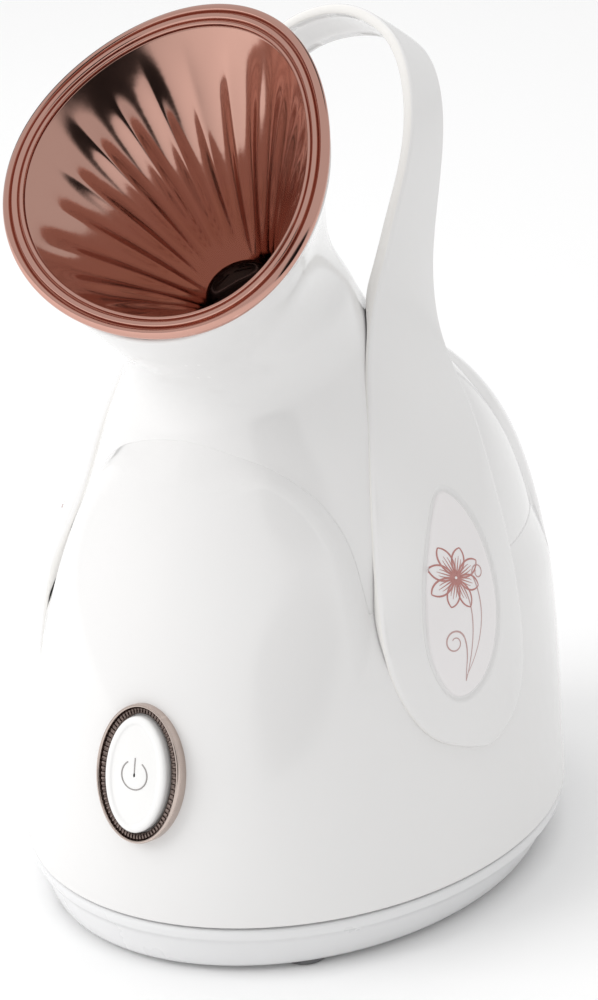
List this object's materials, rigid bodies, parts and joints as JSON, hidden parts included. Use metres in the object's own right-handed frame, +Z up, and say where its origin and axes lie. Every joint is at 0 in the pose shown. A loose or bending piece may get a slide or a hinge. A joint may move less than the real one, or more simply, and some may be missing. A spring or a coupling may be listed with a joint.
{
  "type": "facial steamer",
  "caption": "Free-standing facial steamer with a flared pull-off steam nozzle, a sprung power button and an arched carrying handle over an egg-shaped housing.",
  "frame": {"origin": "centre of the footprint, on the plane the four rubber feet stand on", "axes": "+Z up; the button and the steam nozzle face -Y; +X is the side at the right of the button seen from the front"},
  "size_m": [0.148, 0.1752, 0.248],
  "materials": {
    "pearl_plastic": "pearl gloss",
    "rose_gold": "rose-gold metallised, polished",
    "smoke_chrome": "smoked chrome",
    "button_white": "gloss",
    "badge_plastic": "gloss with a printed flower",
    "clear_ring": "clear ribbed plastic",
    "grey_plastic": "moulded",
    "black_plastic": "moulded",
    "rubber_grey": "moulded",
    "silicone": "moulded",
    "steel": "zinc plated",
    "aluminium": "machined",
    "tank_clear": "clear plastic",
    "board_green": "circuit board laminate",
    "ceramic": "ceramic",
    "led": "clear",
    "spring_steel": "spring wire",
    "wire": "insulated"
  },
  "bodies": {
    "housing": {"main_shell": "pearl_plastic", "neck_hood": "pearl_plastic", "base_tray": "pearl_plastic", "feet": "rubber_grey", "base_screws": "steel", "cord_gland": "black_plastic", "handle": "pearl_plastic", "badge_right": "badge_plastic", "badge_left": "badge_plastic", "handle_screws": "steel", "steam_duct": "grey_plastic", "steam_outlet": "black_plastic", "outlet_seal": "silicone", "ion_electrode": "steel", "water_tank": "tank_clear", "tank_seal": "silicone", "tank_lid": "grey_plastic", "duct_seal": "silicone", "heater_housing": "black_plastic", "heater_plate": "aluminium", "heater_element": "ceramic", "thermostat": "steel", "thermal_fuse": "ceramic", "inner_frame": "grey_plastic", "ion_generator": "black_plastic", "power_wires": "wire", "button_bezel": "smoke_chrome", "light_ring": "clear_ring", "button_spring": "spring_steel", "push_switch": "black_plastic", "control_board": "board_green", "status_leds": "led", "board_screws": "steel"},
    "nozzle": {"nozzle_funnel": "rose_gold", "nozzle_trim_ring": "rose_gold"},
    "button": {"button_cap": "button_white", "switch_plunger": "grey_plastic"}
  },
  "joints": [
    {"name": "nozzle_pull", "type": "slide", "parent": "housing", "child": "nozzle", "axis": [0, -0.5505, 0.8349], "range_m": [0, 0.06]},
    {"name": "button_press", "type": "slide", "parent": "housing", "child": "button", "axis": [0, 0.9659, -0.2588], "range_m": [0, 0.0015], "stiffness_N_per_m": 800, "deforming": ["button_spring"]}
  ]
}
